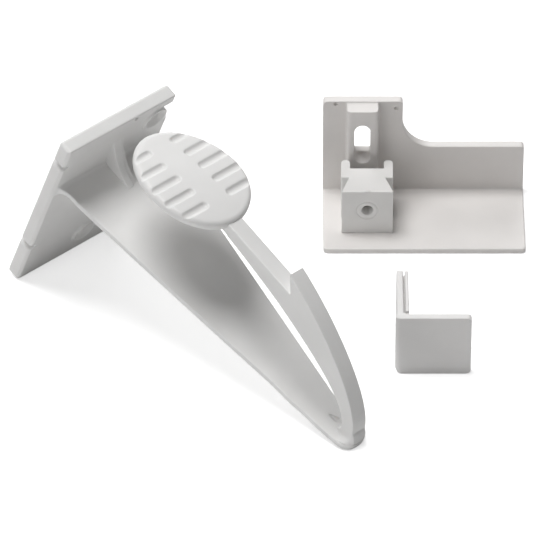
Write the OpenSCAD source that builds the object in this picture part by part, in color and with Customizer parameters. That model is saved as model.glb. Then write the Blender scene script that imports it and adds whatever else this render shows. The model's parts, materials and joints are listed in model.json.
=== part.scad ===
// Cabinet safety lock: spring latch, strike bracket with keeper block, and spacer clip.
// The pieces lie loose on one surface, as they are taken out of the bag.

/* [Mounting plate] */
// Width of the plate, across the arm
plate_w = 33.8; // [32:0.1:36]
// Height of the plate
plate_h = 52.9; // [51:0.1:55]
// Thickness of the plate
plate_t = 3.85; // [3.2:0.05:4.4]
// Bevel round the plate's edges
plate_bevel = 0.6; // [0.3:0.05:0.9]
// Height of the upper slit in the left edge
slit_upper = 45.8; // [44:0.1:47]
// Height of the lower slit in both edges
slit_lower = 13.2; // [11.5:0.1:14.5]
// Depth of the slits
slit_depth = 1.8; // [1:0.1:2.4]
// Opening of the slits
slit_open = 0.9; // [0.5:0.1:1.4]
// Rounded shoulder below each slit
slit_round = 1.9; // [1.2:0.1:2.4]
// Depth of the cut-out beside the upper screw hole
bay_depth = 4.4; // [3.8:0.1:4.8]
// Lower end of that cut-out
bay_low = 43.8; // [43:0.1:44.5]
// Upper end of that cut-out
bay_high = 50.3; // [49.9:0.1:50.8]

/* [Screw holes] */
// Radius of the hole for a 3.5 mm screw
screw_r = 1.9; // [1.8:0.05:2.1]
// Radius of the countersink's mouth
sink_r = 2.9; // [2.6:0.05:3]
// Radius of the raised collar
collar_r = 3.4; // [3.2:0.05:3.6]
// Height of the collar above the plate
collar_h = 0.5; // [0.3:0.05:0.8]
// Upper hole, distance to the right of the middle
upper_x = 11.6; // [11.3:0.1:12]
// Upper hole, height
upper_z = 47.1; // [46.8:0.1:47.4]
// Lower hole, distance to the right of the middle
lower_x = 1.8; // [0:0.1:3]
// Lower hole, height
lower_z = 7.5; // [6.5:0.1:8.5]

/* [Spring blade] */
// Height of the blade's underside on the plate
blade_z = 36.3; // [35.6:0.1:37]
// Thickness of the blade
blade_t = 1.45; // [1.2:0.05:1.7]
// Half width where the blade leaves its root
blade_root_half = 14.1; // [13:0.1:15]
// Half width at the nose
blade_nose_half = 4.5; // [4:0.1:5]
// Reach at which the taper ends
taper_end = 78; // [74:1:82]
// Reach of the nose from the plate
blade_reach = 92.4; // [91:0.1:94]
// Rise of the nose above the flat run
nose_rise = 2.05; // [1.6:0.05:2.4]
// Where the rise begins
nose_from = 72; // [68:1:76]
// Reach of the flexing line at the root
root_line = 10.5; // [10:0.1:12]
// Radius of the fillet over the root
root_top_r = 1.1; // [0.8:0.1:1.5]
// Radius of the fillet under the root
root_low_r = 1.7; // [1.2:0.1:2.2]
// Reach over which the root narrows
root_narrow = 5; // [4:0.1:6]
// Thickness of the gusset fin
fin_t = 1.9; // [1.4:0.1:2.4]
// Height of the fin on the plate
fin_high = 46.2; // [45:0.1:47.5]

/* [Hook arm] */
// Thickness of the arm, across
arm_t = 4.2; // [3.6:0.1:4.8]
// Height of the rib's flat top
rib_z = 61; // [60:0.1:62]
// Height of the rib's underside beside the pad
rib_low = 57.7; // [57:0.1:58.3]
// Reach of the foot of the catch face
catch_foot = 60.3; // [59:0.1:61]
// Reach of the tip of the catch
catch_tip = 57.8; // [57:0.1:58.5]
// Height of the catch above the rib
catch_h = 5.2; // [4.4:0.1:5.8]
// Reach of the ramp's foot
ramp_foot = 90.2; // [88.6:0.1:91]
// Height of the bend's middle above the blade
bend_up = 1.45; // [1.4:0.05:1.8]
// Reach of the bend's middle
bend_at = 88.4; // [88:0.1:88.6]
// Radius of the bend's bearing
bend_r = 1.3; // [1.2:0.05:1.35]

/* [Thumb pad] */
// Half width of the pad
pad_half = 11.8; // [11:0.1:12.5]
// Reach of the end over the plate
pad_near = 6.9; // [6:0.1:8]
// Reach of the end by the rib
pad_far = 38.1; // [37:0.1:39]
// Reach of the widest place
pad_wide = 24.3; // [23:0.1:26]
// Height of the pad over the plate end
pad_low = 57.1; // [56.5:0.1:58]
// Height of the pad at the rib end
pad_high = 61.9; // [61.6:0.1:62.4]
// Thickness of the pad
pad_t = 3; // [2.6:0.1:3.2]
// Roundness of the pad's rim
pad_round = 1.1; // [0.7:0.1:1.3]
// Reach of the first groove
groove_first = 11.6; // [11:0.1:12.2]
// Distance between grooves
groove_pitch = 4.85; // [4.6:0.05:5]
// Number of grooves on each side
groove_count = 5; // [3:1:5]
// Half width of the smooth band in the middle
groove_band = 2.8; // [2.2:0.1:3.4]
// Radius of the groove cutter
groove_r = 1; // [0.8:0.1:1.2]
// Depth of the grooves
groove_depth = 0.75; // [0.4:0.05:0.9]

/* [Strike bracket] */
// Length of the bracket
bracket_l = 48.35; // [47:0.05:50]
// Depth of the base in front of the wall
base_d = 23.6; // [22:0.1:25]
// Thickness of the base
base_t = 1.37; // [1.2:0.01:1.6]
// Thickness of the wall
wall_t = 2.3; // [2:0.05:2.6]
// Height of the wall's tall part
wall_h = 27.6; // [26.5:0.1:29]
// Height of the wall's low part
wall_low = 14.15; // [13:0.05:15.5]
// Length of the wall's tall part
wall_tall_l = 19.1; // [18:0.1:20]
// Radius of the concave corner, along
sweep_x = 7.3; // [6.5:0.1:8]
// Radius of the concave corner, upward
sweep_z = 7.5; // [6.5:0.1:8]
// Radius of the corners seen from the front
corner_r = 0.9; // [0.6:0.1:1.2]
// Softening of the bracket's edges
edge_r = 0.45; // [0.2:0.05:0.6]

/* [Slotted rail] */
// Distance of the rail's middle from the bracket's left end
rail_x = 9.45; // [8.8:0.05:10]
// Width of the rail
rail_w = 7.5; // [7:0.1:7.6]
// How far the rail stands out of the wall
rail_d = 3.8; // [3.3:0.1:4]
// Distance from the rail's top to the wall's top
rail_drop = 0.4; // [0.3:0.1:1]
// Width of the slot
slot_w = 3.9; // [3.6:0.1:3.95]
// Height of the slot's lower end
slot_low = 12; // [11:0.1:13]
// Height of the slot's upper end
slot_high = 23.1; // [22:0.1:24]

/* [Keeper block] */
// Distance of the block's middle from the bracket's left end
block_x = 10.55; // [10.3:0.05:10.8]
// Distance of the block's front from the base's front edge
block_y = 6.2; // [5.6:0.1:6.4]
// Width of the block's face
block_w = 12.4; // [12:0.1:12.8]
// Height of the block
block_h = 12.25; // [11.8:0.05:12.8]
// Width of the waist
waist_w = 8.7; // [8.3:0.1:9]
// Distance from the face to the waist
waist_d = 5.8; // [5.4:0.1:6.2]
// Depth of the solid body, up to the gap between the ears
body_d = 9.5; // [9.2:0.1:9.7]
// Depth of the block with its ears
ear_d = 12.75; // [12.5:0.05:12.8]
// Width of the gap between the ears
ear_gap = 8.1; // [8:0.1:8.3]
// Radius of the pilot hole
pilot_r = 1.35; // [1.2:0.05:1.5]
// Height of the pilot hole above the block's bottom
pilot_z = 6.75; // [6:0.05:7.5]

/* [Spacer clip] */
// Width of the front plate
clip_w = 17.7; // [17:0.1:18.5]
// Height of the clip
clip_h = 16.4; // [15.5:0.1:17.5]
// Thickness of the front plate
clip_t = 1.85; // [1.6:0.05:2.1]
// Length of the leg behind the front plate
leg_l = 16.9; // [16:0.1:18]
// Thickness of the leg's outer wall
leg_t = 1.5; // [1.4:0.05:1.8]
// Width of the groove in the leg
leg_groove = 0.45; // [0.35:0.05:0.5]
// Thickness of the leg's inner slab
slab_t = 0.8; // [0.7:0.05:1]
// Depth of the groove, from the top
groove_deep = 1.6; // [1.2:0.1:2]
// Distance from the front plate to the end of the slab
slab_from = 0.8; // [0.5:0.1:1.2]
// Opening at the end of the slab
slab_open = 0.8; // [0.5:0.1:1.2]
// Radius of the rounded corner between the front plate and the leg
clip_round = 1.3; // [1:0.1:1.5]
// Cut at the lower corner below the leg
clip_cut = 0.9; // [0.5:0.1:1.1]

/* [Layout] */
// Turn of the latch, seen from above
latch_turn = 43; // [40:0.5:46]
// Latch, left to right
latch_x = -47.27; // [-50:0.01:-42]
// Latch, front to back
latch_y = 25.08; // [20:0.01:30]
// Bracket's left end
bracket_x = 13.2; // [10:0.01:16]
// Bracket's front edge
bracket_y = 23.81; // [20:0.01:28]
// Clip's left end
clip_x = 29.63; // [26:0.01:33]
// Clip's front face
clip_y = -21.85; // [-26:0.01:-16]

/* [Hidden] */
$fn = 64;
// running clearance of the two flexing lines
flex_clear = 0.05;
// clearance under the loose block
rest_gap = 0.05;
// reach of a cut past the surface that it starts from
over = 1;
plastic = [0.93, 0.93, 0.92];
half_w = plate_w / 2;
// cut at the nose's edge
nose_soft = 0.4;
blade_mid = blade_z + blade_t / 2;
blade_top = blade_z + blade_t;
// the latch leans until the plate's bevel and the nose both touch the table
latch_tilt = atan(blade_under(blade_reach - nose_soft) / (blade_reach - nose_soft + plate_bevel));
latch_z = -plate_bevel * sin(latch_tilt);
curve_n = 24;
blade_n = 60;
corner_n = 6;
// how far the taper is from a straight line
taper_power = 1.06;
// radius of the round heel on which the blade flexes
root_r = 1.2;
root_flare = half_w - plate_bevel - blade_root_half;
fin_end = 0.5;
fin_reach = root_line - root_r - fin_end;
bend_z = blade_under(bend_at) + blade_t + bend_up;
// wall of the seat beside the arm's foot, and how far its top is below the bend's middle
seat_wall = 0.5;
seat_drop = 0.5;
seat_z = bend_z - seat_drop;
seat_from = bend_at - bend_r - seat_wall;
// where the arm's underside turns from rib to hook: distance past the catch, and height
under_back = 2;
under_w = catch_foot - under_back;
under_z = 55.2;
// where the rib starts under the pad, and how deep it is there
rib_start = 12;
rib_tail = 0.7;
// handles of the curves, as shares of their span
fin_shares = [[0.18, 0.43], [0.48, 0.78]];
ramp_shares = [[0.414, 0.156], [0.994, 0.568]];
hook_shares = [[0.615, 0.255], [0.99, 0.531]];
rib_shares = [[0.34, 0.22], [0.67, 0.58]];
tail_shares = [[0.31, 0.45], [0.69, 0.87]];
pad_angle = 5;
pad_rings = 7;
rim_rings = 4;
groove_fn = 24;
leg_h = clip_h - edge_r;

// Point at a share of the way from a to b, in each direction
function between(a, b, share) = [for (k = [0, 1]) a[k] + (b[k] - a[k]) * share[k]];

// Cubic curve from a to b, its two handles given as shares of the span
function curve(a, b, shares) = [
    for (i = [0 : curve_n])
        let (t = i / curve_n, s = 1 - t)
        a * pow(s, 3) + 3 * between(a, b, shares[0]) * t * pow(s, 2)
            + 3 * between(a, b, shares[1]) * s * pow(t, 2) + b * pow(t, 3)
];

// Arc about c from angle f to angle g
function arc(c, r, f, g, n = curve_n) = [
    for (i = [0 : n])
        let (q = f + (g - f) * i / n)
        [c[0] + r * cos(q), c[1] + r * sin(q)]
];

function flip(p) = [for (q = p) [-q[0], q[1]]];
function back(p) = [for (i = [len(p) - 1 : -1 : 0]) p[i]];

// Height of the blade's underside at reach w
function blade_under(w) =
    blade_z + nose_rise * pow(max(0, w - nose_from) / (blade_reach - nose_from), 2);

// Half width of the blade at reach w
function blade_half(w) =
    let (t = min(1, max(0, (w - root_narrow) / (taper_end - root_narrow))))
    blade_root_half - (blade_root_half - blade_nose_half) * pow(t, taper_power);

// Height of the pad's top at reach w
function pad_top(w) =
    pad_low + (pad_high - pad_low) * sin(90 * (w - pad_near) / (pad_far - pad_near));

// Puts the latch's own frame, x across and y toward the cabinet, on the table
module on_table() {
    translate([latch_x, latch_y, latch_z])
        rotate([0, 0, latch_turn])
            rotate([latch_tilt, 0, 0])
                children();
}

// Extrudes a profile of reach and height across the latch
module across(width) {
    rotate([0, 0, -90])
        rotate([90, 0, 0])
            linear_extrude(width, center = true)
                children();
}

// Rectangle with cut corners
function cut_rect(x0, x1, y0, y1, c) = [
    [x0 + c, y0], [x1 - c, y0], [x1, y0 + c], [x1, y1 - c],
    [x1 - c, y1], [x0 + c, y1], [x0, y1 - c], [x0, y0 + c]
];

// Box with a bevel on every edge, centred in x
module bevelled(w, t, h, c) {
    intersection() {
        linear_extrude(h)
            polygon(cut_rect(-w / 2, w / 2, 0, t, c));
        translate([0, t, 0])
            rotate([90, 0, 0])
                linear_extrude(t)
                    polygon(cut_rect(-w / 2, w / 2, 0, h, c));
        across(w)
            polygon(cut_rect(-t, 0, 0, h, c));
    }
}

// Narrow slit in a side edge, with a rounded shoulder below it
module slit_outline(z0) {
    shoulder = [for (i = [0 : curve_n])
        let (q = 90 * i / curve_n)
        [half_w - slit_depth + slit_depth * sin(q), z0 - slit_round + slit_round * cos(q)]];
    polygon(concat(
        [[half_w + over, z0 + slit_open], [half_w - slit_depth, z0 + slit_open]],
        shoulder,
        [[half_w + over, z0 - slit_round]]
    ));
}

module through_plate() {
    translate([0, plate_t + over, 0])
        rotate([90, 0, 0])
            linear_extrude(plate_t + 2 * over)
                children();
}

module collar(x, z) {
    translate([x, plate_bevel, z])
        rotate([90, 0, 0])
            cylinder(r = collar_r, h = plate_bevel + collar_h);
}

module screw_hole(x, z) {
    translate([x, plate_t + over, z])
        rotate([90, 0, 0])
            cylinder(r = screw_r, h = plate_t + collar_h + 2 * over);
    translate([x, sink_r - screw_r - collar_h, z])
        rotate([90, 0, 0])
            cylinder(r1 = screw_r, r2 = sink_r + over, h = sink_r - screw_r + over);
}

// Outline of the root, which flares to the plate's full width
module root_plan() {
    flare = [for (i = [0 : curve_n])
        let (q = 90 * i / curve_n)
        [blade_root_half + root_flare * (1 - sin(q)), -root_narrow * (1 - cos(q))]];
    run = [for (i = [0 : corner_n])
        let (w = root_narrow + (root_line - root_narrow) * i / corner_n)
        [blade_half(w), -w]];
    side = concat(flare, run);
    polygon(concat(side, back(flip(side))));
}

module root_profile() {
    top = arc([root_top_r, blade_top + root_top_r], root_top_r, 180, 270);
    low = arc([root_low_r, blade_z - root_low_r], root_low_r, 90, 180);
    difference() {
        polygon(concat(top, [[root_line, blade_top], [root_line, blade_z]], low));
        translate([root_line, blade_mid])
            circle(r = root_r + flex_clear);
    }
}

module root_bar() {
    intersection() {
        across(plate_w)
            root_profile();
        linear_extrude(plate_h)
            root_plan();
    }
}

module fin() {
    sweep = curve([0, fin_high], [fin_reach, blade_top], fin_shares);
    across(fin_t)
        polygon(concat([[0, blade_mid]], sweep, [[fin_reach, blade_mid]]));
}

// Root of the blade with its gusset fin, square against the plate
module blade_root() {
    color(plastic)
        on_table()
            union() {
                root_bar();
                fin();
            }
}

module mounting_plate() {
    color(plastic)
        on_table()
            difference() {
                union() {
                    difference() {
                        bevelled(plate_w, plate_t, plate_h, plate_bevel);
                        through_plate() {
                            mirror([1, 0])
                                slit_outline(slit_upper);
                            mirror([1, 0])
                                slit_outline(slit_lower);
                            slit_outline(slit_lower);
                            difference() {
                                translate([half_w - bay_depth, bay_low])
                                    square([bay_depth + over, bay_high - bay_low]);
                                translate([upper_x, upper_z])
                                    circle(r = collar_r);
                            }
                        }
                    }
                    collar(upper_x, upper_z);
                    collar(lower_x, lower_z);
                }
                screw_hole(upper_x, upper_z);
                screw_hole(lower_x, lower_z);
            }
}

module blade_plan() {
    nose_w = blade_reach - blade_nose_half;
    side = [for (i = [0 : blade_n])
        let (w = root_line - root_r + (nose_w - root_line + root_r) * i / blade_n)
        [blade_half(w), -w]];
    nose = [for (i = [1 : curve_n])
        let (q = 90 * i / curve_n)
        [blade_nose_half * cos(q), -nose_w - blade_nose_half * sin(q)]];
    edge = concat(side, nose);
    polygon(concat(edge, back(flip(edge))));
}

module blade_profile() {
    half = asin(blade_t / 2 / root_r);
    heel = arc([root_line, blade_mid], root_r, half, 360 - half);
    run = blade_reach - nose_soft - root_line;
    ws = [for (i = [1 : blade_n]) root_line + run * i / blade_n];
    low = [for (w = ws) if (w > root_line + root_r) [w, blade_under(w)]];
    high = [for (p = back(low)) [p[0], p[1] + blade_t]];
    tip_z = blade_under(blade_reach);
    polygon(concat(
        heel, low,
        [[blade_reach, tip_z + nose_soft], [blade_reach, tip_z + blade_t - nose_soft]],
        high
    ));
}

// Block on the blade, flared at its sides, in which the arm's foot turns
module bend_seat() {
    r = seat_z - blade_under(seat_from) - blade_t;
    flank = arc([arm_t / 2 + r, seat_z], r, 180, 270);
    edge = concat(flank, [[arm_t / 2 + r, blade_under(seat_from) + blade_t / 2]]);
    intersection() {
        translate([0, -seat_from, 0])
            rotate([90, 0, 0])
                linear_extrude(ramp_foot - seat_from)
                    polygon(concat(edge, back(flip(edge))));
        across(plate_w)
            difference() {
                translate([seat_from, blade_z])
                    square([ramp_foot - seat_from, seat_z - blade_z]);
                translate([bend_at, bend_z])
                    circle(r = bend_r + flex_clear);
            }
    }
}

module spring_blade() {
    color(plastic)
        on_table()
            union() {
                intersection() {
                    across(plate_w)
                        blade_profile();
                    linear_extrude(plate_h)
                        blade_plan();
                }
                bend_seat();
            }
}

module arm_profile() {
    foot = arc([bend_at, bend_z], bend_r, 180, 360);
    ramp = back(curve([catch_tip, rib_z + catch_h], [ramp_foot, bend_z + seat_drop], ramp_shares));
    rib_end = pad_far - pad_round;
    under_top = [for (i = [0 : corner_n])
        let (w = rib_end - (rib_end - rib_start) * i / corner_n)
        [w, pad_top(w) - pad_t]];
    under_pad = curve([rib_start, pad_top(rib_start) - pad_t - rib_tail], [pad_far, rib_low],
                      tail_shares);
    under_rib = curve([pad_far, rib_low], [under_w, under_z], rib_shares);
    under_hook = curve([under_w, under_z], [bend_at - bend_r, bend_z + flex_clear], hook_shares);
    polygon(concat(
        foot, ramp,
        [[catch_foot, rib_z], [rib_end, rib_z]],
        under_top, under_pad, under_rib, under_hook
    ));
}

module hook_arm() {
    color(plastic)
        on_table()
            difference() {
                across(arm_t)
                    arm_profile();
                translate([0, 0, pad_high - pad_t])
                    linear_extrude(pad_t + over)
                        polygon([for (q = [0 : pad_angle : 359]) pad_point(q, 1)]);
            }
}

// Point on the pad's outline, shrunk about the widest place
function pad_point(q, s) =
    let (a = cos(q) < 0 ? pad_wide - pad_near : pad_far - pad_wide)
    [s * pad_half * sin(q), -(pad_wide + s * a * cos(q))];

function pad_ring(s, drop) = [
    for (q = [0 : pad_angle : 359])
        let (p = pad_point(q, s))
        [p[0], p[1], pad_top(-p[1]) - drop]
];

module pad_body() {
    inner = [for (i = [1 : pad_rings]) i / pad_rings * (1 - pad_round / pad_half)];
    rim = [for (i = [1 : rim_rings]) 90 * i / rim_rings];
    rings = concat(
        [for (s = inner) pad_ring(s, 0)],
        [for (q = rim) pad_ring(1 - pad_round * (1 - sin(q)) / pad_half, pad_round * (1 - cos(q)))],
        [for (q = back(rim)) pad_ring(1 - pad_round * (1 - sin(q)) / pad_half,
                                      pad_t - pad_round * (1 - cos(q)))],
        [for (s = back(inner)) pad_ring(s, pad_t)]
    );
    n = len(rings[0]);
    m = len(rings);
    hub_top = [0, -pad_wide, pad_top(pad_wide)];
    hub_low = [0, -pad_wide, pad_top(pad_wide) - pad_t];
    points = concat([hub_top, hub_low], [for (r = rings) for (p = r) p]);
    walls = [for (j = [0 : m - 2]) for (i = [0 : n - 1])
        let (a = 2 + j * n + i, b = 2 + j * n + (i + 1) % n)
        each [[a, b, b + n], [a, b + n, a + n]]];
    top = [for (i = [0 : n - 1]) [0, 2 + (i + 1) % n, 2 + i]];
    low = [for (i = [0 : n - 1]) [1, 2 + (m - 1) * n + i, 2 + (m - 1) * n + (i + 1) % n]];
    polyhedron(points, concat(walls, top, low));
}

// One groove, open at the pad's rim and rounded at its inner end
module groove(w) {
    translate([groove_band + groove_r, -w, pad_top(w) + groove_r - groove_depth]) {
        sphere(r = groove_r, $fn = groove_fn);
        rotate([0, 90, 0])
            cylinder(r = groove_r, h = pad_half, $fn = groove_fn);
    }
}

module thumb_pad() {
    color(plastic)
        on_table()
            difference() {
                pad_body();
                for (side = [0, 1])
                    mirror([side, 0, 0])
                        for (i = [0 : groove_count - 1])
                            groove(groove_first + i * groove_pitch);
            }
}

// Solid between an outline and its inset copy, softened along both faces
module soft_slab(rows) {
    n = len(rows[0]);
    m = len(rows);
    walls = [for (j = [0 : m - 2]) for (i = [0 : n - 1])
        let (a = j * n + i, b = j * n + (i + 1) % n)
        [a, a + n, b + n, b]];
    polyhedron([for (r = rows) for (p = r) p],
               concat(walls, [[for (i = [0 : n - 1]) i], [for (i = [n - 1 : -1 : 0]) (m - 1) * n + i]]));
}

// Inset and depth of the softened edge, row by row
function soft_rows(t) = [
    for (q = [0 : 30 : 90]) [edge_r * (1 - sin(q)), edge_r * (1 - cos(q))],
    for (q = [90 : -30 : 0]) [edge_r * (1 - sin(q)), t - edge_r * (1 - cos(q))]
];

module on_bracket() {
    translate([bracket_x, bracket_y, 0])
        children();
}

// Outline of the base, drawn i inside its edge, square against the wall
function base_outline(i) = concat(
    arc([corner_r, corner_r], corner_r - i, 180, 270, corner_n),
    arc([bracket_l - corner_r, corner_r], corner_r - i, 270, 360, corner_n),
    [[bracket_l - i, base_d], [i, base_d]]
);

module bracket_base() {
    color(plastic)
        on_bracket()
            soft_slab([for (s = soft_rows(base_t))
                [for (p = base_outline(s[0])) [p[0], p[1], s[1]]]]);
}

// Front outline of the wall, with its concave step
module wall_outline() {
    polygon(concat(
        arc([corner_r, corner_r], corner_r, 180, 270, corner_n),
        arc([bracket_l - corner_r, corner_r], corner_r, 270, 360, corner_n),
        arc([bracket_l - corner_r, wall_low - corner_r], corner_r, 0, 90, corner_n),
        [for (k = [0 : curve_n])
            let (q = 270 - 90 * k / curve_n)
            [wall_tall_l + sweep_x * (1 + cos(q)), wall_low + sweep_z * (1 + sin(q))]],
        arc([wall_tall_l - corner_r, wall_h - corner_r], corner_r, 0, 90, corner_n),
        arc([corner_r, wall_h - corner_r], corner_r, 90, 180, corner_n)
    ));
}

// Upright slot, cut from front to back
module slot_cut() {
    translate([rail_x, base_d + wall_t + over, 0])
        rotate([90, 0, 0])
            linear_extrude(rail_d + wall_t + 2 * over) {
                for (z = [slot_low + slot_w / 2, slot_high - slot_w / 2])
                    translate([0, z])
                        circle(r = slot_w / 2);
                translate([-slot_w / 2, slot_low + slot_w / 2])
                    square([slot_w, slot_high - slot_low - slot_w]);
            }
}

module bracket_wall() {
    color(plastic)
        on_bracket()
            difference() {
                translate([0, base_d + wall_t, 0])
                    rotate([90, 0, 0])
                        linear_extrude(wall_t)
                            wall_outline();
                slot_cut();
            }
}

module slotted_rail() {
    color(plastic)
        on_bracket()
            difference() {
                intersection() {
                    translate([rail_x - rail_w / 2, base_d - rail_d, base_t])
                        linear_extrude(wall_h - rail_drop - base_t)
                            polygon(concat(
                                arc([corner_r, corner_r], corner_r, 180, 270, corner_n),
                                arc([rail_w - corner_r, corner_r], corner_r, 270, 360, corner_n),
                                [[rail_w, rail_d], [0, rail_d]]
                            ));
                    translate([rail_x - rail_w / 2, base_d, 0])
                        rotate([90, 0, 90])
                            linear_extrude(rail_w)
                                polygon(concat(
                                    arc([edge_r - rail_d, wall_h - rail_drop - edge_r], edge_r, 90, 180),
                                    [[-rail_d, 0], [0, 0], [0, wall_h - rail_drop]]
                                ));
                }
                slot_cut();
            }
}

module block_plan() {
    ear_r = (block_w - ear_gap) / 4;
    ear_mid = ear_gap / 2 + ear_r;
    side = concat(
        [[block_w / 2, 0], [block_w / 2, edge_r], [waist_w / 2, waist_d], [block_w / 2, waist_d]],
        arc([ear_mid, ear_d - ear_r], ear_r, 0, 180),
        [[ear_gap / 2, body_d]]
    );
    polygon(concat(side, back(flip(side))));
}

module keeper_block() {
    color(plastic)
        on_bracket()
            translate([block_x, block_y, base_t + rest_gap])
                difference() {
                    linear_extrude(block_h)
                        block_plan();
                    translate([0, ear_d + over, pilot_z])
                        rotate([90, 0, 0])
                            cylinder(r = pilot_r, h = ear_d + 2 * over);
                }
}

module on_clip() {
    translate([clip_x, clip_y, 0])
        children();
}

// Front plate, with its rounded corner on the leg's side
module clip_front() {
    leg_side = arc([clip_round, clip_round], clip_round, 180, 270, corner_n);
    color(plastic)
        on_clip()
            intersection() {
                soft_slab([for (s = soft_rows(clip_t))
                    [for (p = clip_outline(s[0])) [p[0], clip_t - s[1], p[1]]]]);
                linear_extrude(clip_h)
                    polygon(concat(leg_side, [[clip_w, 0], [clip_w, clip_t], [0, clip_t]]));
            }
}

// Front outline of the clip, drawn i inside its edge, with the cut below the leg
function clip_outline(i) = concat(
    [[i, clip_cut], [clip_cut, i]],
    arc([clip_w - corner_r, corner_r], corner_r - i, 270, 360, corner_n),
    arc([clip_w - corner_r, clip_h - corner_r], corner_r - i, 0, 90, corner_n),
    arc([corner_r, clip_h - corner_r], corner_r - i, 90, 180, corner_n)
);

// Leg seen from its end: outer wall, groove and inner slab
module leg_profile() {
    slab_x = leg_t + leg_groove;
    slab_z = leg_h - leg_groove;
    floor_z = leg_h - groove_deep;
    polygon([
        [0, clip_cut], [clip_cut, 0],
        [slab_x + slab_t, 0], [slab_x + slab_t, slab_z], [slab_x, slab_z],
        [slab_x, floor_z], [leg_t, floor_z],
        [leg_t, leg_h], [0, leg_h]
    ]);
}

module clip_leg() {
    color(plastic)
        on_clip()
            difference() {
                union() {
                    translate([edge_r, clip_t + leg_l, 0])
                        rotate([90, 0, 0])
                            linear_extrude(leg_l)
                                leg_profile();
                    translate([edge_r + leg_t - slab_t, clip_t, leg_h - groove_deep - slab_t])
                        cube([2 * slab_t + leg_groove, slab_from, groove_deep + slab_t]);
                }
                translate([edge_r + leg_t, clip_t + slab_from, leg_h - groove_deep])
                    cube([leg_groove + slab_t + over, slab_open, groove_deep + over]);
            }
}

mounting_plate();
blade_root();
spring_blade();
hook_arm();
thumb_pad();
bracket_base();
bracket_wall();
slotted_rail();
keeper_block();
clip_front();
clip_leg();
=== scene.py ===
"""Cabinet safety lock in white moulded plastic: latch, bracket, keeper block and spacer clip."""
import bpy
import bmesh
import json
from math import cos, pi, radians, sin
from mathutils import Matrix, Vector

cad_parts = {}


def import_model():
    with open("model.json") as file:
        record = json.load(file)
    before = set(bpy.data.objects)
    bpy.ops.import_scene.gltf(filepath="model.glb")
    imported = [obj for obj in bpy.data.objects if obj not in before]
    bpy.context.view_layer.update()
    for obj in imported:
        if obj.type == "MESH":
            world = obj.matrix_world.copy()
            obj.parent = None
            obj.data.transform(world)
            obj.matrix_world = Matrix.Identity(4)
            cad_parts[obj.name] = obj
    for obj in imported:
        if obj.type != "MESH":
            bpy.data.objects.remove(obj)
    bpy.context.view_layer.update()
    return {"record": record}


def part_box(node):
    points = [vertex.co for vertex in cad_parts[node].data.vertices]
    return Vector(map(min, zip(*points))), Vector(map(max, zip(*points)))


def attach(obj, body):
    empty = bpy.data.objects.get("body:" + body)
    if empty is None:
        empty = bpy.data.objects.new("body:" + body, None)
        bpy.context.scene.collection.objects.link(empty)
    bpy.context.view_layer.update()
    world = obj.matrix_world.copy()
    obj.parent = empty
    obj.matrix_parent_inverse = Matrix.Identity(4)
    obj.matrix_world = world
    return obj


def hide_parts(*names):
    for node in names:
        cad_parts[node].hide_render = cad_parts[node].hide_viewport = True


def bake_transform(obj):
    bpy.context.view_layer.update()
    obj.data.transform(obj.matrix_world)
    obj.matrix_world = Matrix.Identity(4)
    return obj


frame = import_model()

MM = 0.001
LEFT, RIGHT = -1, 1

# Sizes, in millimetres.
# The latch's own frame: x across, y into the plate, z up the plate. The reach w is -y.

# Mounting plate
PLATE_W, PLATE_H, PLATE_T = 33.8, 52.9, 3.85
HALF_W = PLATE_W / 2
BEVEL, TOP_BEVEL = 0.6, 0.15
# slits in its side edges, and the cut-out beside the upper screw hole
SLIT_UPPER, SLIT_LOWER = 45.8, 13.2
SLIT_DEPTH, SLIT_OPEN, SLIT_ROUND = 1.8, 0.9, 1.9
BAY_DEPTH, BAY_LOW, BAY_HIGH = 4.4, 43.8, 50.3
# screw holes with a countersink in a raised collar
SCREW_R, SINK_R, COLLAR_R, COLLAR_H = 1.9, 2.9, 3.4, 0.5
UPPER_HOLE, LOWER_HOLE = (11.6, 47.1), (1.8, 7.5)
# round gate mark near the top edge
GATE_X, GATE_DROP, GATE_R, GATE_DEPTH = 4.45, 1.2, 0.5, 0.8
# fin between plate and blade, with a lower step on its right
FIN_T, FIN_HIGH, FIN_REACH = 1.9, 46.2, 8.8
FIN_SHARES = ((0.18, 0.43), (0.48, 0.78))
FIN_STEP, FIN_STEP_DROP = 1.1, 0.3

# Spring blade
BLADE_Z, BLADE_T = 36.3, 1.45
BLADE_TOP = BLADE_Z + BLADE_T
NOSE_RISE, NOSE_FROM, REACH = 2.05, 72.0, 92.4
ROOT_HALF, NOSE_HALF, ROOT_FLARE = 14.1, 4.5, 2.2
ROOT_END, TAPER_END, TAPER_POWER = 5.0, 78.0, 1.06
ROOT_TOP_R, ROOT_LOW_R = 1.1, 1.7
# its left edge swells before the nose
SWELL, SWELL_AT, SWELL_SPAN = 0.45, 78.5, 9.5
# the tip is drawn in to these half widths, with elliptic corners
TIP_HALF = {LEFT: 4.35, RIGHT: 4.15}
TIP_CORNER = {LEFT: (2.7, 3.3), RIGHT: (4.45, 5.2)}
DRAW_FROM, DRAW_SPAN = 74.0, 8.0
# sink mark by the fold: its ends as place across and reach, its radii with their share of length
PIT_ENDS = ((-0.5, 82.0), (0.3, 85.1))
PIT_SHAPE = ((0.35, 0.15), (0.85, 0.75), (0.7, 0.92))
# rows of points along the blade, and along one of its edges
BLADE_ROWS, EDGE_ROWS = 90, 40

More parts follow.
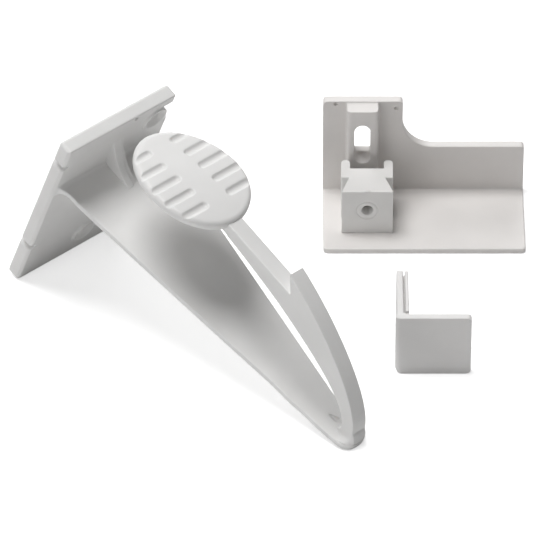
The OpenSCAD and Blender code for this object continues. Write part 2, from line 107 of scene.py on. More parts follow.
# Hook arm, its side outline as reach and height
ARM_T, RIB_Z, RIB_LOW = 4.2, 61.0, 57.7
RIB_START, RIB_TAIL, RIB_ROWS = 12.0, 0.7, 12
CATCH_FOOT, CATCH_TIP, CATCH_H = 60.3, 57.8, 5.2
RAMP_FOOT, RAMP_TOE = (90.8, 41.0), 0.3
UNDER_MID = (58.3, 55.2)
BEND_INNER, INNER_DROP, INNER_FOOT = (87.1, 40.6), (0.25, 0.7), 0.9
RAMP_SHARES = ((0.414, 0.15), (0.985, 0.60))
HOOK_SHARES = ((0.615, 0.255), (0.99, 0.531))
RIB_SHARES = ((0.34, 0.22), (0.67, 0.58))
TAIL_SHARES = ((0.31, 0.45), (0.69, 0.87))
# foot: the blade's tip thickens, sweeps up into the arm's left side and falls off at its end
FOOT_FROM, FOOT_EDGE, FOOT_HALF, FOOT_ROWS = 85.0, 0.1, 6.0, 36
RISE_FROM, RISE_TO, FOOT_RISE = 86.5, 91.5, 0.6
FOOT_FALL, FALL_POWER = 1.9, 1.3
BEND_FLARE, TOE_RISE = 1.2, 2.6

# Thumb pad, as half width and reaches of its ends and of its widest place
PAD_HALF, PAD_NEAR, PAD_FAR, PAD_WIDE = 11.8, 6.9, 38.1, 24.3
PAD_LOW, PAD_HIGH, PAD_T, PAD_ROUND = 57.1, 61.9, 3.0, 1.1
PAD_RINGS, RIM_RINGS, RING_N = 12, 6, 120
GROOVE_FIRST, GROOVE_PITCH, GROOVES = 11.6, 4.85, 5
GROOVE_BAND, GROOVE_R, GROOVE_DEPTH, DOME_N = 2.8, 1.25, 0.62, 8

# Strike bracket, from its left front bottom corner
BRACKET_L, BASE_D, BASE_T, WALL_T = 48.35, 23.6, 1.37, 2.3
WALL_H, WALL_LOW, TALL_L = 27.6, 14.15, 19.1
SWEEP_X, SWEEP_Z, CORNER_R = 7.3, 7.5, 0.9
RAIL_X, RAIL_W, RAIL_D, RAIL_DROP = 9.45, 7.5, 3.8, 0.4
# the slot's lower end is square in the wall, a sill above the rail's round one
SLOT_W, SLOT_LOW, SLOT_HIGH, WALL_SILL = 3.9, 12.0, 23.1, 0.75
WALL_MARKS, MARK_R, MARK_DEPTH = ((3.0, 26.9), (17.5, 25.6)), 0.45, 0.6

# Keeper block, from the middle of its face
BLOCK_W, BLOCK_H, WAIST_W, WAIST_D = 12.4, 12.25, 8.7, 5.8
BODY_D, EAR_D, EAR_GAP = 9.5, 12.75, 8.1
PILOT_R, PILOT_Z, PILOT_EDGE = 1.35, 6.75, 0.15
RING_R, RING_W, RING_DEPTH = 2.3, 0.4, 0.18
NUB_W, NUB_D, NUB_H = 1.2, 0.5, 0.2

# Spacer clip, from its left front bottom corner
CLIP_W, CLIP_H, CLIP_T, CLIP_CUT, CLIP_ROUND = 17.7, 16.4, 1.85, 0.9, 1.3
# its leg, set in from the side and the top: outer wall, groove and inner slab
LEG_INSET, LEG_L, LEG_T, LEG_GROOVE = 0.45, 16.9, 1.5, 0.45
SLAB_T, SLAB_FROM, SLAB_OPEN, SLAB_DROP = 0.8, 0.8, 0.8, 0.1
GROOVE_DEEP = 1.6
# small nub at its right side
SIDE_NUB_Y, SIDE_NUB_Z, SIDE_NUB_R, SIDE_NUB_OUT = 0.9, 6.9, 0.35, 0.1

# Meshes: overrun of cuts, overlap of fused solids, steps of curves, voxels
OVER, SINK, MARGIN = 1.0, 0.3, 5
CURVE_N, CORNER_N, LATHE_N = 24, 8, 48
FINE, COARSE, SOFTEN = 0.17, 0.2, 0.5
# what the softening takes off the blade's edges and off the arm's underside
EDGE_LOSS, UNDER_LOSS = 0.15, 0.2

# Places where a piece passes from one body to the next, as reach and height
BLADE_BENDS = (4, BLADE_Z), (18, BLADE_Z)
ARM_BENDS = (90, 38.6), (85.5, 43.4)

# Plastic: reflection, light that enters it, and the noises with their detail
IOR = 1.49
SCATTER, SCATTER_MM, SCATTER_RGB = 0.08, 1.2, (1.0, 0.95, 0.9)
ROUGH_LOW, ROUGH_HIGH, TONE_LOW, TONE_HIGH = 0.37, 0.49, 0.97, 1.02
TONE_NOISE, GLOSS_NOISE, WAVE_NOISE, GRAIN_NOISE = (95, 3), (420, 4), (130, 2), (2600, 3)
NOISE_LOW, NOISE_HIGH = 0.3, 0.7
WAVE_STRENGTH, WAVE_MM = 0.12, 0.25
GRAIN_STRENGTH, GRAIN_MM = 0.1, 0.03

# Studio, in metres and watts
FLOOR_HALF, FLOOR_DROP, FLOOR_TONE, FLOOR_GLOW = 3.0, 0.05 * MM, 0.86, 0.55
ROOM_LIGHT = 0.1
LAMP_AIM = (0, 0, 0.01)
# Photograph's view: steepness, millimetres to its aim, pixels, and the aim in millimetres
VIEW_DOWN, VIEW_FAR, PX_PER_MM, PX_WIDE = radians(38), 1600.0, 4.2, 533.0
VIEW_AIM, SENSOR, CLIP_END = (-0.32, 18.75, 0), 36.0, 20


# Outlines
def steps(a, b, n):
    """Even steps from a to b, n + 1 values with both ends."""
    return [a + (b - a) * i / n for i in range(n + 1)]


def quarter(n=CURVE_N):
    """Angles of a quarter turn."""
    return steps(0, pi / 2, n)


def curve(a, b, shares, n=CURVE_N):
    """Cubic curve from a to b, its handles given as shares of the span."""
    a, b = Vector(a), Vector(b)
    span = b - a
    h = [a + Vector((span.x * s[0], span.y * s[1])) for s in shares]
    return [tuple(a * (1 - t) ** 3 + h[0] * 3 * t * (1 - t) ** 2
                  + h[1] * 3 * (1 - t) * t ** 2 + b * t ** 3)
            for t in steps(0, 1, n)]


def arc(cx, cy, r, start, end, n=CORNER_N):
    return [(cx + r * cos(radians(q)), cy + r * sin(radians(q))) for q in steps(start, end, n)]


def corner(x, y, a, b):
    """Quarter ellipse with semi-axes a and b, from (x, y + b) round to (x - a, y)."""
    return [(x - a * (1 - cos(q)), y + b * (1 - sin(q))) for q in quarter()]


def mirrored(points):
    """The points on the other side, in the order that closes the outline."""
    return [(-x, y) for x, y in reversed(points)]


def rect(x0, x1, y0, y1):
    return [(x0, y0), (x1, y0), (x1, y1), (x0, y1)]


def cut_rect(x0, x1, y0, y1, c):
    """Rectangle with cut corners."""
    return [(x0 + c, y0), (x1 - c, y0), (x1, y0 + c), (x1, y1 - c),
            (x1 - c, y1), (x0 + c, y1), (x0, y1 - c), (x0, y0 + c)]


def front_corners(low, high, y):
    """Two rounded corners of an outline's lower side, from low to high."""
    return (arc(low + CORNER_R, y + CORNER_R, CORNER_R, 180, 270)
            + arc(high - CORNER_R, y + CORNER_R, CORNER_R, 270, 360))


def blade_under(w):
    """Height of the blade's underside at reach w."""
    return BLADE_Z + NOSE_RISE * (max(0.0, w - NOSE_FROM) / (REACH - NOSE_FROM)) ** 2


def blade_half(w):
    """The blade's half width at reach w, before the nose is shaped."""
    t = min(1.0, max(0.0, (w - ROOT_END) / (TAPER_END - ROOT_END)))
    return ROOT_HALF - (ROOT_HALF - NOSE_HALF) * t ** TAPER_POWER


def ease(t):
    """Soft step from 0 to 1."""
    t = min(1.0, max(0.0, t))
    return t * t * (3 - 2 * t)


def blade_edge(w, side):
    """Distance of the blade's left or right edge from its middle."""
    swell = SWELL * max(0.0, 1 - ((w - SWELL_AT) / SWELL_SPAN) ** 2) if side == LEFT else 0.0
    drawn = (TIP_HALF[side] - NOSE_HALF) * ease((w - DRAW_FROM) / DRAW_SPAN)
    return blade_half(w) + swell + drawn + EDGE_LOSS


def pad_top(w):
    """Height of the thumb pad's top at reach w."""
    return PAD_LOW + (PAD_HIGH - PAD_LOW) * sin(pi / 2 * (w - PAD_NEAR) / (PAD_FAR - PAD_NEAR))


# Meshes
def across(a, b, d):
    """Profile of reach and height, extruded across the latch."""
    return (d, -a, b)


def plan(a, b, d):
    """Outline seen from above, extruded upward."""
    return (a, b, d)


def front(a, b, d):
    """Outline seen from the front, extruded backward."""
    return (a, d, b)


def around(n):
    """Each place of a closed ring with the next one."""
    return [(i, (i + 1) % n) for i in range(n)]


def solid(bm):
    """Mesh of a closed solid, its normals outward."""
    bmesh.ops.recalc_face_normals(bm, faces=bm.faces)
    return from_bmesh(bm)


def loft(rings, hubs=()):
    """Closed solid through rings of points; its ends are flat, or fans round two hubs."""
    bm = bmesh.new()
    rows = [[bm.verts.new(p) for p in ring] for ring in rings]
    for a, b in zip(rows, rows[1:]):
        for i, j in around(len(a)):
            bm.faces.new((a[i], a[j], b[j], b[i]))
    if not hubs:
        bm.faces.new(rows[0])
        bm.faces.new(list(reversed(rows[-1])))
    for ring, place in zip((rows[0], rows[-1]), hubs):
        hub = bm.verts.new(place)
        for i, j in around(len(ring)):
            bm.faces.new((hub, ring[i], ring[j]))
    return solid(bm)


def prism(points, low, high, place):
    """Closed solid: an outline extruded from low to high."""
    return loft([[place(p[0], p[1], d) for p in points] for d in (low, high)])


def lathe(profile, centre, axis):
    """Closed solid of revolution: profile is radius and distance along the axis."""
    axis = Vector(axis).normalized()
    side = axis.orthogonal().normalized()
    other = axis.cross(side)
    bm = bmesh.new()
    rings = []
    for r, d in profile:
        mid = Vector(centre) + axis * d
        if r == 0:
            rings.append([bm.verts.new(mid)])
        else:
            rings.append([bm.verts.new(mid + side * r * cos(q) + other * r * sin(q))
                          for q in steps(0, 2 * pi, LATHE_N)[:-1]])
    for a, b in zip(rings, rings[1:]):
        for i, j in around(LATHE_N):
            corners = [a[i % len(a)], a[j % len(a)], b[j % len(b)], b[i % len(b)]]
            bm.faces.new(list(dict.fromkeys(corners)))
    return solid(bm)


def pin(centre, axis, r, length):
    return lathe([(0, 0), (r, 0), (r, length), (0, length)], centre, axis)


def from_bmesh(bm):
    mesh = bpy.data.meshes.new("solid")
    bm.to_mesh(mesh)
    bm.free()
    return mesh


def shown(mesh, name="work"):
    obj = bpy.data.objects.new(name, mesh)
    bpy.context.scene.collection.objects.link(obj)
    return obj


def applied(obj):
    """Mesh with the object's modifiers applied; the object is removed."""
    depsgraph = bpy.context.evaluated_depsgraph_get()
    mesh = bpy.data.meshes.new_from_object(obj.evaluated_get(depsgraph))
    bpy.data.objects.remove(obj)
    return mesh


def boolean(mesh, others, operation):
    """The mesh cut by, or kept within, each of the others."""
    obj = shown(mesh)
    tools = [shown(m) for m in others]
    for tool in tools:
        modifier = obj.modifiers.new("cut", "BOOLEAN")
        modifier.operation = operation
        modifier.solver = "EXACT"
        modifier.object = tool
    result = applied(obj)
    for tool in tools:
        bpy.data.objects.remove(tool)
    return result


def cut(mesh, *others):
    return boolean(mesh, others, "DIFFERENCE")


def within(mesh, *others):
    return boolean(mesh, others, "INTERSECT")


def joined(meshes):
    bm = bmesh.new()
    for mesh in meshes:
        bm.from_mesh(mesh)
    return from_bmesh(bm)


def moulded(name, solids, place, voxel, rounds=2, bores=()):
    """One moulding in its place: solids fused, edges and inner corners softened, bores cut."""
    obj = shown(joined(solids), name)
    remesh = obj.modifiers.new("fuse", "REMESH")
    remesh.mode = "VOXEL"
    remesh.voxel_size = voxel
    smooth = obj.modifiers.new("soften", "SMOOTH")
    smooth.factor = SOFTEN
    smooth.iterations = rounds
    mesh = applied(obj)
    if bores:
        mesh = cut(mesh, *bores)
    mesh.transform(place @ Matrix.Scale(MM, 4))
    for polygon in mesh.polygons:
        polygon.use_smooth = True
    mesh.name = name
    return shown(mesh, name)


# Places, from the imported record
def named(rows, name):
    return next(row for row in rows if row["name"] == name)


def latch_place():
    """The latch's own frame, from its hinge line and the plate's back."""
    record = frame["record"]
    back = named(record["mounts"], "plate_back")
    x = Vector(named(record["behaviour"]["joints"], "blade_flex")["axis"]).normalized()
    y = Vector(back["axis"]).normalized()
    z = x.cross(y)
    turn = Matrix((x, y, z)).transposed()
    origin = Vector(back["pos_m"]) - turn @ Vector((0, PLATE_T, PLATE_H / 2)) * MM
    return Matrix.Translation(origin) @ turn.to_4x4()


def corner_place(node):
    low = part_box(node)[0]
    return Matrix.Translation(low)


LATCH = latch_place()
BRACKET = corner_place("bracket_base")
BLOCK_LOW, BLOCK_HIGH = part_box("keeper_block")
BLOCK = Matrix.Translation(((BLOCK_LOW.x + BLOCK_HIGH.x) / 2, BLOCK_LOW.y, BLOCK_LOW.z))
CLIP = corner_place("clip_front")


def bend_points(bends):
    """The two places of a bend in the middle of the latch, in the row frame."""
    return [LATCH @ (Vector((0, -w, u)) * MM) for w, u in bends]


# Latch
def slit(z, side):
    """Cut for a slit in a side edge, with the rounded shoulder below it."""
    shoulder = [(HALF_W - SLIT_DEPTH + SLIT_DEPTH * sin(q), z - SLIT_ROUND + SLIT_ROUND * cos(q))
                for q in quarter()]
    outline = ([(HALF_W + OVER, z + SLIT_OPEN), (HALF_W - SLIT_DEPTH, z + SLIT_OPEN)] + shoulder
               + [(HALF_W + OVER, z - SLIT_ROUND)])
    return prism([(side * x, y) for x, y in outline], -OVER, PLATE_T + OVER, front)


def screw_cut(x, z):
    """Hole and countersink, open at both faces."""
    back = PLATE_T + COLLAR_H + OVER
    profile = [(0, -OVER), (SINK_R + OVER, -OVER), (SCREW_R, SINK_R - SCREW_R), (SCREW_R, back),
               (0, back)]
    return lathe(profile, (x, -COLLAR_H, z), (0, 1, 0))


def plate_slab():
    """The plate's body, bevelled round all its edges."""
    side = [(BEVEL - PLATE_T, 0), (-BEVEL, 0), (0, BEVEL), (0, PLATE_H - TOP_BEVEL),
            (-TOP_BEVEL, PLATE_H), (BEVEL - PLATE_T, PLATE_H), (-PLATE_T, PLATE_H - BEVEL),
            (-PLATE_T, BEVEL)]
    return within(prism(cut_rect(-HALF_W, HALF_W, 0, PLATE_H, BEVEL), 0, PLATE_T, front),
                  prism(cut_rect(-HALF_W, HALF_W, 0, PLATE_T, BEVEL), 0, PLATE_H, plan),
                  prism(side, -HALF_W, HALF_W, across))


def plate_bay():
    """Cut beside the upper screw hole, that leaves the hole's round boss."""
    opening = rect(HALF_W - BAY_DEPTH, HALF_W + OVER, BAY_LOW, BAY_HIGH)
    boss = pin((UPPER_HOLE[0], -2 * OVER, UPPER_HOLE[1]), (0, 1, 0), COLLAR_R, PLATE_T + 4 * OVER)
    return cut(prism(opening, -OVER, PLATE_T + OVER, front), boss)


def fin(drop, low, high):
    """The fin's curved web between plate and blade, from low to high across."""
    sweep = [(w, z - drop) for w, z in curve((0, FIN_HIGH), (FIN_REACH, BLADE_TOP), FIN_SHARES)]
    outline = ([(-SINK, BLADE_TOP - SINK), (-SINK, FIN_HIGH - drop)] + sweep
               + [(FIN_REACH, BLADE_TOP - SINK)])
    return prism(outline, low, high, across)


def mounting_plate():
    """The plate with its two collars and the fin."""
    places = (UPPER_HOLE, LOWER_HOLE)
    holes = [screw_cut(*place) for place in places]
    gate = pin((GATE_X, -OVER, PLATE_H - GATE_DROP), (0, 1, 0), GATE_R, OVER + GATE_DEPTH)
    slits = [slit(SLIT_LOWER, LEFT), slit(SLIT_UPPER, LEFT), slit(SLIT_LOWER, RIGHT)]
    plate = cut(plate_slab(), plate_bay(), *slits, *holes)
    collars = [cut(pin((x, -COLLAR_H, z), (0, 1, 0), COLLAR_R, COLLAR_H + SINK), hole)
               for (x, z), hole in zip(places, holes)]
    web = fin(0, -FIN_T / 2, FIN_T / 2)
    step = fin(FIN_STEP_DROP, FIN_T / 2 - SINK, FIN_T / 2 + FIN_STEP)
    return moulded("plate", [cut(plate, gate), *collars, web, step], LATCH, COARSE)


def blade_side(side):
    """One half of the blade's outline, as a right half, from the root to the tip."""
    across_r, along_r = TIP_CORNER[side]
    flare = [(ROOT_HALF + ROOT_FLARE * (1 - sin(q)), -ROOT_END * (1 - cos(q)))
             for q in quarter()[:-1]]
    edge = [(blade_edge(w, side), -w) for w in steps(ROOT_END, REACH - along_r, EDGE_ROWS)[:-1]]
    return flare + edge + corner(TIP_HALF[side] + EDGE_LOSS, -REACH, across_r, along_r)


def blade():
    """The spring blade, from the fillets at its root to the upturned nose."""
    top = arc(ROOT_TOP_R, BLADE_TOP + ROOT_TOP_R, ROOT_TOP_R, 180, 270)
    low = arc(ROOT_LOW_R, BLADE_Z - ROOT_LOW_R, ROOT_LOW_R, 90, 180)
    reach = steps(ROOT_END, REACH, BLADE_ROWS)
    profile = ([(-SINK, BLADE_Z - ROOT_LOW_R), (-SINK, BLADE_TOP + ROOT_TOP_R)] + top
               + [(w, blade_under(w) + BLADE_T) for w in reach]
               + [(w, blade_under(w)) for w in reversed(reach)] + low)
    outline = ([(ROOT_HALF + ROOT_FLARE, SINK)] + blade_side(RIGHT) + mirrored(blade_side(LEFT))
               + [(-ROOT_HALF - ROOT_FLARE, SINK)])
    strip = within(prism(profile, -HALF_W, HALF_W, across),
                   prism(outline, BLADE_Z - MARGIN, BLADE_TOP + MARGIN, plan))
    start, end = (Vector((x, -w, blade_under(w) + BLADE_T)) for x, w in PIT_ENDS)
    length = (end - start).length
    shape = [(0, 0)] + [(r, share * length) for r, share in PIT_SHAPE] + [(0, length)]
    pit = lathe(shape, start, end - start)
    return moulded("blade", [strip], LATCH, COARSE, bores=[pit])


def foot_ring(w, end):
    """Section of the foot at reach w: only its left side sweeps up."""
    top = blade_under(w) + BLADE_T
    fall = max(0.0, (w - end + FOOT_FALL) / FOOT_FALL) ** FALL_POWER
    lift = ease((w - RISE_FROM) / (RISE_TO - RISE_FROM)) * (1 - fall)
    base = top + FOOT_RISE * lift - EDGE_LOSS
    r = EDGE_LOSS + BEND_FLARE * lift
    flank = arc(ARM_T / 2 + r, base + r, r, 180, 270)
    inside, toe = ARM_T / 2 - EDGE_LOSS, base + EDGE_LOSS + TOE_RISE * lift
    left = [(inside, toe), *flank, (FOOT_HALF, base), (FOOT_HALF, top - 2 * SINK)]
    right = [(FOOT_HALF, top - 2 * SINK), (FOOT_HALF, top - SINK), (inside, top - SINK),
             (inside, toe)]
    return [(x, -w, z) for x, z in [(-x, z) for x, z in left] + right]


def foot():
    """The tip thickening and sweeping up into the arm, within the blade's outline."""
    end = REACH - FOOT_EDGE
    body = loft([foot_ring(w, end) for w in steps(FOOT_FROM, end, FOOT_ROWS)])
    low = blade_under(FOOT_FROM) - OVER
    high = blade_under(REACH) + BLADE_T + FOOT_RISE + BEND_FLARE + OVER
    right, left = ([(TIP_HALF[side] - FOOT_EDGE, OVER - FOOT_FROM)]
                   + corner(TIP_HALF[side] - FOOT_EDGE, -end, *TIP_CORNER[side])
                   for side in (RIGHT, LEFT))
    return within(body, prism(right + mirrored(left), low, high, plan))


def arm():
    """The upper arm of the hairpin: bend, ramp, hook tooth and rib, up to the pad."""
    foot_z = blade_under(RAMP_FOOT[0]) + BLADE_T - SINK
    rib_end = PAD_FAR - PAD_ROUND
    ramp = curve(RAMP_FOOT, (CATCH_TIP, RIB_Z + CATCH_H),
                 [(1 - a, 1 - b) for a, b in reversed(RAMP_SHARES)])
    under_top = [(w, pad_top(w) - PAD_T + SINK) for w in steps(rib_end, RIB_START, RIB_ROWS)]
    under_pad = curve((RIB_START, pad_top(RIB_START) - PAD_T - RIB_TAIL), (PAD_FAR, RIB_LOW),
                      TAIL_SHARES)
    turn = (UNDER_MID[0], UNDER_MID[1] - UNDER_LOSS)
    under_rib = curve((PAD_FAR, RIB_LOW - UNDER_LOSS), turn, RIB_SHARES)
    under_hook = curve(turn, (BEND_INNER[0], BEND_INNER[1] - UNDER_LOSS), HOOK_SHARES)
    bend = [(BEND_INNER[0] - INNER_DROP[0], BEND_INNER[1] - INNER_DROP[1]),
            (BEND_INNER[0] - INNER_FOOT, foot_z)]
    profile = ([(RAMP_FOOT[0] + RAMP_TOE, foot_z)] + ramp + [(CATCH_FOOT, RIB_Z), (rib_end, RIB_Z)]
               + under_top + under_pad + under_rib[1:] + under_hook[1:] + bend)
    body = prism(profile, -ARM_T / 2, ARM_T / 2, across)
    return moulded("arm", [body, foot()], LATCH, FINE, rounds=5)


def pad_ring(scale, drop):
    """Ring of the egg-shaped pad, scaled from its middle and dropped below its top."""
    points = []
    for q in steps(0, 2 * pi, RING_N)[:-1]:
        reach = PAD_WIDE - PAD_NEAR if cos(q) < 0 else PAD_FAR - PAD_WIDE
        x, w = scale * PAD_HALF * sin(q), PAD_WIDE + scale * reach * cos(q)
        points.append((x, -w, pad_top(w) - drop))
    return points


def pad_groove(w, side):
    """Cut for one groove, from the middle band out through the rim."""
    start = (side * GROOVE_BAND, -w, pad_top(w) + GROOVE_R - GROOVE_DEPTH)
    dome = [(GROOVE_R * sin(q), GROOVE_R * (1 - cos(q))) for q in quarter(DOME_N)]
    end = PAD_HALF + OVER
    return lathe(dome + [(GROOVE_R, end), (0, end)], start, (side, 0, 0))


def thumb_pad():
    """Domed oval pad with five grooves on each side, open at its rim."""
    inner = [s * (1 - PAD_ROUND / PAD_HALF) for s in steps(0, 1, PAD_RINGS)[1:]]
    rim = [(1 - PAD_ROUND * (1 - sin(q)) / PAD_HALF, PAD_ROUND * (1 - cos(q)))
           for q in quarter(RIM_RINGS)[1:]]
    rings = ([pad_ring(s, 0) for s in inner] + [pad_ring(s, drop) for s, drop in rim]
             + [pad_ring(s, PAD_T - drop) for s, drop in reversed(rim)]
             + [pad_ring(s, PAD_T) for s in reversed(inner)])
    hubs = [(0, -PAD_WIDE, pad_top(PAD_WIDE) - drop) for drop in (0, PAD_T)]
    grooves = [pad_groove(GROOVE_FIRST + i * GROOVE_PITCH, side)
               for i in range(GROOVES) for side in (LEFT, RIGHT)]
    return moulded("pad", [cut(loft(rings, hubs), *grooves)], LATCH, FINE, rounds=6)


# Strike bracket
def slot_cut(sill=0.0):
    """Slot through rail and wall; with a sill, its lower end is square and that much higher."""
    r = SLOT_W / 2
    bottom = (arc(RAIL_X, SLOT_LOW + r, r, 180, 360, 2 * CORNER_N) if sill == 0
              else [(RAIL_X - r, SLOT_LOW + sill), (RAIL_X + r, SLOT_LOW + sill)])
    outline = arc(RAIL_X, SLOT_HIGH - r, r, 0, 180, 2 * CORNER_N) + bottom
    return prism(outline, BASE_D - RAIL_D - OVER, BASE_D + WALL_T + OVER, front)


def wall_outline():
    """Front outline of the wall, with its concave step."""
    sweep = [(TALL_L + SWEEP_X * (1 + cos(q)), WALL_LOW + SWEEP_Z * (1 + sin(q)))
             for q in map(radians, steps(270, 180, CURVE_N))]
    return (front_corners(0, BRACKET_L, 0)
            + arc(BRACKET_L - CORNER_R, WALL_LOW - CORNER_R, CORNER_R, 0, 90) + sweep
            + arc(TALL_L - CORNER_R, WALL_H - CORNER_R, CORNER_R, 0, 90)
            + arc(CORNER_R, WALL_H - CORNER_R, CORNER_R, 90, 180))


def strike_bracket():
    """Base, wall and rail in one moulding."""
    joint = BASE_D + SINK
    base = prism(front_corners(0, BRACKET_L, 0) + [(BRACKET_L, joint), (0, joint)],
                 0, BASE_T, plan)
    wall = prism(wall_outline(), BASE_D, BASE_D + WALL_T, front)
    low, high = RAIL_X - RAIL_W / 2, RAIL_X + RAIL_W / 2
    rail = prism(front_corners(low, high, BASE_D - RAIL_D) + [(high, joint), (low, joint)],
                 BASE_T - SINK, WALL_H - RAIL_DROP, plan)
    marks = [pin((x, BASE_D - OVER, z), (0, 1, 0), MARK_R, OVER + MARK_DEPTH)
             for x, z in WALL_MARKS]
    solids = [base, cut(wall, slot_cut(WALL_SILL), *marks), cut(rail, slot_cut())]
    return moulded("bracket", solids, BRACKET, COARSE)


def keeper_block():
    """Waisted block with two ears, a pilot hole in a ring, and a nub on its top edge."""
    ear_r = (BLOCK_W - EAR_GAP) / 4
    side = ([(BLOCK_W / 2, 0), (WAIST_W / 2, WAIST_D), (BLOCK_W / 2, WAIST_D)]
            + arc(EAR_GAP / 2 + ear_r, EAR_D - ear_r, ear_r, 0, 180, 2 * CORNER_N)
            + [(EAR_GAP / 2, BODY_D)])
    body = prism(side + mirrored(side), 0, BLOCK_H, plan)
    face, inward = (0, 0, PILOT_Z), (0, 1, 0)
    hole = lathe([(0, -OVER), (PILOT_R + PILOT_EDGE + OVER, -OVER), (PILOT_R, PILOT_EDGE),
                  (PILOT_R, EAR_D + OVER), (0, EAR_D + OVER)], face, inward)
    ring = lathe([(RING_R, -OVER), (RING_R + RING_W, -OVER), (RING_R + RING_W, RING_DEPTH),
                  (RING_R, RING_DEPTH), (RING_R, -OVER)], face, inward)
    nub = prism(rect(-NUB_W / 2, NUB_W / 2, 0, NUB_D), BLOCK_H - SINK, BLOCK_H + NUB_H, plan)
    return moulded("keeper", [cut(body, ring), nub], BLOCK, FINE, bores=[hole])


# Spacer clip
def clip_face():
    """The front plate, with a rounded left edge and small corners."""
    outline = ([(0, CLIP_CUT), (CLIP_CUT, 0)]
               + arc(CLIP_W - CORNER_R, CORNER_R, CORNER_R, 270, 360)
               + arc(CLIP_W - CORNER_R, CLIP_H - CORNER_R, CORNER_R, 0, 90)
               + arc(CORNER_R, CLIP_H - CORNER_R, CORNER_R, 90, 180))
    edge = (arc(CLIP_ROUND, CLIP_ROUND, CLIP_ROUND, 180, 270)
            + [(CLIP_W, 0), (CLIP_W, CLIP_T), (0, CLIP_T)])
    return within(prism(outline, 0, CLIP_T, front), prism(edge, -OVER, CLIP_H + OVER, plan))


def clip_leg():
    """The leg's wall, groove and slab, and the bridge that closes the groove at the plate."""
    leg_h = CLIP_H - LEG_INSET
    floor_z, slab_z = leg_h - GROOVE_DEEP, leg_h - SLAB_DROP
    wall = LEG_INSET + LEG_T
    slab = wall + LEG_GROOVE
    outer = slab + SLAB_T
    outline = [(LEG_INSET, CLIP_CUT), (LEG_INSET + CLIP_CUT, 0), (outer, 0), (outer, slab_z),
               (slab, slab_z), (slab, floor_z), (wall, floor_z), (wall, leg_h), (LEG_INSET, leg_h)]
    bridge_end = CLIP_T + SLAB_FROM
    pocket = prism(rect(wall, outer + OVER, floor_z, leg_h + OVER),
                   bridge_end, bridge_end + SLAB_OPEN, front)
    bridge = prism(rect(LEG_INSET + SINK, outer, floor_z - SINK, leg_h),
                   CLIP_T - SINK, bridge_end, front)
    return [cut(prism(outline, CLIP_T - SINK, CLIP_T + LEG_L, front), pocket), bridge]


def spacer_clip():
    """Front plate, leg and side nub in one moulding."""
    nub = pin((CLIP_W - SINK, SIDE_NUB_Y, SIDE_NUB_Z), (1, 0, 0), SIDE_NUB_R, SINK + SIDE_NUB_OUT)
    return moulded("clip", [clip_face(), *clip_leg(), nub], CLIP, FINE)


# Material
def moulded_plastic(name, colour):
    """Moulded plastic: fine grain in the gloss, a faint unevenness of surface and tone."""
    mat = bpy.data.materials.new(name)
    mat.use_nodes = True
    nodes, links = mat.node_tree.nodes, mat.node_tree.links
    bsdf = nodes["Principled BSDF"]
    bsdf.inputs["IOR"].default_value = IOR
    bsdf.inputs["Subsurface Weight"].default_value = SCATTER
    bsdf.inputs["Subsurface Scale"].default_value = SCATTER_MM * MM
    bsdf.inputs["Subsurface Radius"].default_value = SCATTER_RGB
    place = nodes.new("ShaderNodeTexCoord")

    def noise(scale, detail):
        node = nodes.new("ShaderNodeTexNoise")
        node.inputs["Scale"].default_value = scale
        node.inputs["Detail"].default_value = detail
        links.new(place.outputs["Object"], node.inputs["Vector"])
        return node.outputs["Fac"]

    def spread(value, low, high):
        node = nodes.new("ShaderNodeMapRange")
        node.inputs["From Min"].default_value = NOISE_LOW
        node.inputs["From Max"].default_value = NOISE_HIGH
        node.inputs["To Min"].default_value = low
        node.inputs["To Max"].default_value = high
        links.new(value, node.inputs["Value"])
        return node.outputs["Result"]

    def bump(height, strength, deep_mm):
        node = nodes.new("ShaderNodeBump")
        node.inputs["Strength"].default_value = strength
        node.inputs["Distance"].default_value = deep_mm * MM
        links.new(height, node.inputs["Height"])
        return node

    mix = nodes.new("ShaderNodeMix")
    mix.data_type = "RGBA"
    mix.inputs["A"].default_value = (*[c * TONE_LOW for c in colour], 1)
    mix.inputs["B"].default_value = (*[min(1, c * TONE_HIGH) for c in colour], 1)
    links.new(spread(noise(*TONE_NOISE), 0, 1), mix.inputs["Factor"])
    links.new(mix.outputs["Result"], bsdf.inputs["Base Color"])
    links.new(spread(noise(*GLOSS_NOISE), ROUGH_LOW, ROUGH_HIGH), bsdf.inputs["Roughness"])
    wave = bump(noise(*WAVE_NOISE), WAVE_STRENGTH, WAVE_MM)
    grain = bump(noise(*GRAIN_NOISE), GRAIN_STRENGTH, GRAIN_MM)
    links.new(wave.outputs["Normal"], grain.inputs["Normal"])
    links.new(grain.outputs["Normal"], bsdf.inputs["Normal"])
    return mat


def finish_piece(obj, body, slot, material, *nodes):
    """Material, CAD nodes to hide and body; slot is not used; with a tuple in place of a body the
    piece is baked in place and attached to no body.
    """
    obj.data.materials.clear()
    obj.data.materials.append(material)
    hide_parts(*nodes)
    if isinstance(body, str):
        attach(obj, body)
    else:
        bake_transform(obj)


LATCH_WHITE = moulded_plastic("latch_white", (0.80, 0.795, 0.785))
BRACKET_WHITE = moulded_plastic("bracket_white", (0.80, 0.775, 0.755))
KEEPER_WHITE = moulded_plastic("keeper_white", (0.81, 0.80, 0.785))
CLIP_WHITE = moulded_plastic("clip_white", (0.80, 0.79, 0.78))

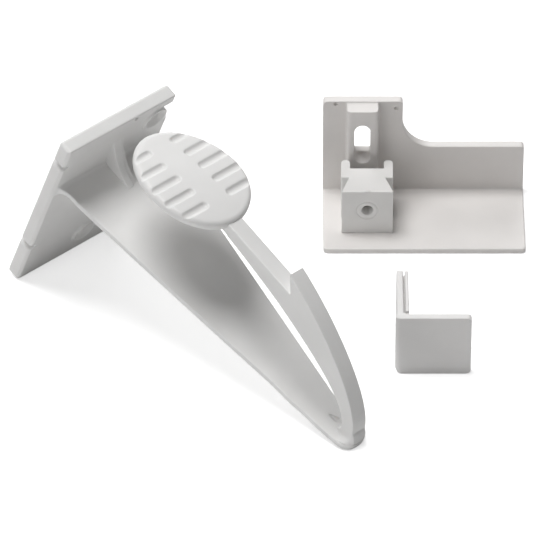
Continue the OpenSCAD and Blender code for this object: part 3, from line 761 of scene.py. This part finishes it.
finish_piece(mounting_plate(), "latch_mount", "latch_plastic", LATCH_WHITE,
             "mounting_plate", "blade_root")
finish_piece(blade(), ("latch_mount", "latch_blade", *bend_points(BLADE_BENDS)),
             "latch_plastic", LATCH_WHITE, "spring_blade")
finish_piece(arm(), ("latch_blade", "latch_arm", *bend_points(ARM_BENDS)),
             "latch_plastic", LATCH_WHITE, "hook_arm")
finish_piece(thumb_pad(), "latch_arm", "latch_plastic", LATCH_WHITE, "thumb_pad")
finish_piece(strike_bracket(), "strike_bracket", "bracket_plastic", BRACKET_WHITE,
             "bracket_base", "bracket_wall", "slotted_rail")
finish_piece(keeper_block(), "keeper", "keeper_plastic", KEEPER_WHITE, "keeper_block")
finish_piece(spacer_clip(), "spacer_clip", "clip_plastic", CLIP_WHITE, "clip_front", "clip_leg")


# Studio
def floor():
    """White floor that keeps the object's shadow."""
    mesh = bpy.data.meshes.new("floor")
    edge = FLOOR_HALF
    mesh.from_pydata([(x, y, 0) for x, y in rect(-edge, edge, -edge, edge)], [], [(0, 1, 2, 3)])
    obj = shown(mesh, "floor")
    obj.location.z = -FLOOR_DROP
    mat = bpy.data.materials.new("floor_white")
    mat.use_nodes = True
    nodes, links = mat.node_tree.nodes, mat.node_tree.links
    nodes.clear()
    out = nodes.new("ShaderNodeOutputMaterial")
    diffuse = nodes.new("ShaderNodeBsdfDiffuse")
    diffuse.inputs["Color"].default_value = (FLOOR_TONE, FLOOR_TONE, FLOOR_TONE, 1)
    glow = nodes.new("ShaderNodeEmission")
    glow.inputs["Color"].default_value = (1, 1, 1, 1)
    path = nodes.new("ShaderNodeLightPath")
    lift = nodes.new("ShaderNodeMath")
    lift.operation = "MULTIPLY"
    lift.inputs[1].default_value = FLOOR_GLOW
    links.new(path.outputs["Is Camera Ray"], lift.inputs[0])
    links.new(lift.outputs[0], glow.inputs["Strength"])
    add = nodes.new("ShaderNodeAddShader")
    links.new(diffuse.outputs[0], add.inputs[0])
    links.new(glow.outputs[0], add.inputs[1])
    links.new(add.outputs[0], out.inputs["Surface"])
    mesh.materials.append(mat)


def world():
    """Even pale room; the camera sees plain white."""
    scene_world = bpy.data.worlds.new("room")
    bpy.context.scene.world = scene_world
    scene_world.use_nodes = True
    nodes, links = scene_world.node_tree.nodes, scene_world.node_tree.links
    back = nodes["Background"]
    back.inputs["Color"].default_value = (1, 1, 1, 1)
    path = nodes.new("ShaderNodeLightPath")
    level = nodes.new("ShaderNodeMapRange")
    level.inputs["To Min"].default_value = ROOM_LIGHT
    level.inputs["To Max"].default_value = 1.0
    links.new(path.outputs["Is Camera Ray"], level.inputs["Value"])
    links.new(level.outputs["Result"], back.inputs["Strength"])


def lamp(name, place, size, power):
    """Round soft lamp aimed at the object."""
    light = bpy.data.lights.new(name, "AREA")
    light.shape = "DISK"
    light.size = size
    light.energy = power
    obj = shown(light, name)
    obj.location = place
    aim = Vector(LAMP_AIM) - Vector(place)
    obj.rotation_euler = aim.to_track_quat("-Z", "Y").to_euler()


def camera():
    """The photograph's view: 38 degrees down, from 1.6 m in front."""
    cam = bpy.data.cameras.new("camera")
    cam.sensor_fit = "HORIZONTAL"
    cam.sensor_width = SENSOR
    cam.lens = SENSOR * PX_PER_MM * VIEW_FAR / PX_WIDE
    cam.clip_end = CLIP_END
    obj = shown(cam, "camera")
    back = Vector((0, -cos(VIEW_DOWN), sin(VIEW_DOWN)))
    obj.location = Vector(VIEW_AIM) * MM + back * VIEW_FAR * MM
    obj.rotation_euler = (pi / 2 - VIEW_DOWN, 0, 0)
    bpy.context.scene.camera = obj


floor()
world()
lamp("key", place=(-0.3, 0.16, 1.45), size=0.8, power=17)
lamp("fill", place=(-0.55, -0.65, 0.3), size=0.6, power=1.5)
lamp("back", place=(0.1, 1.3, 0.6), size=1.0, power=6)
camera()
bpy.context.scene.view_settings.view_transform = "Standard"
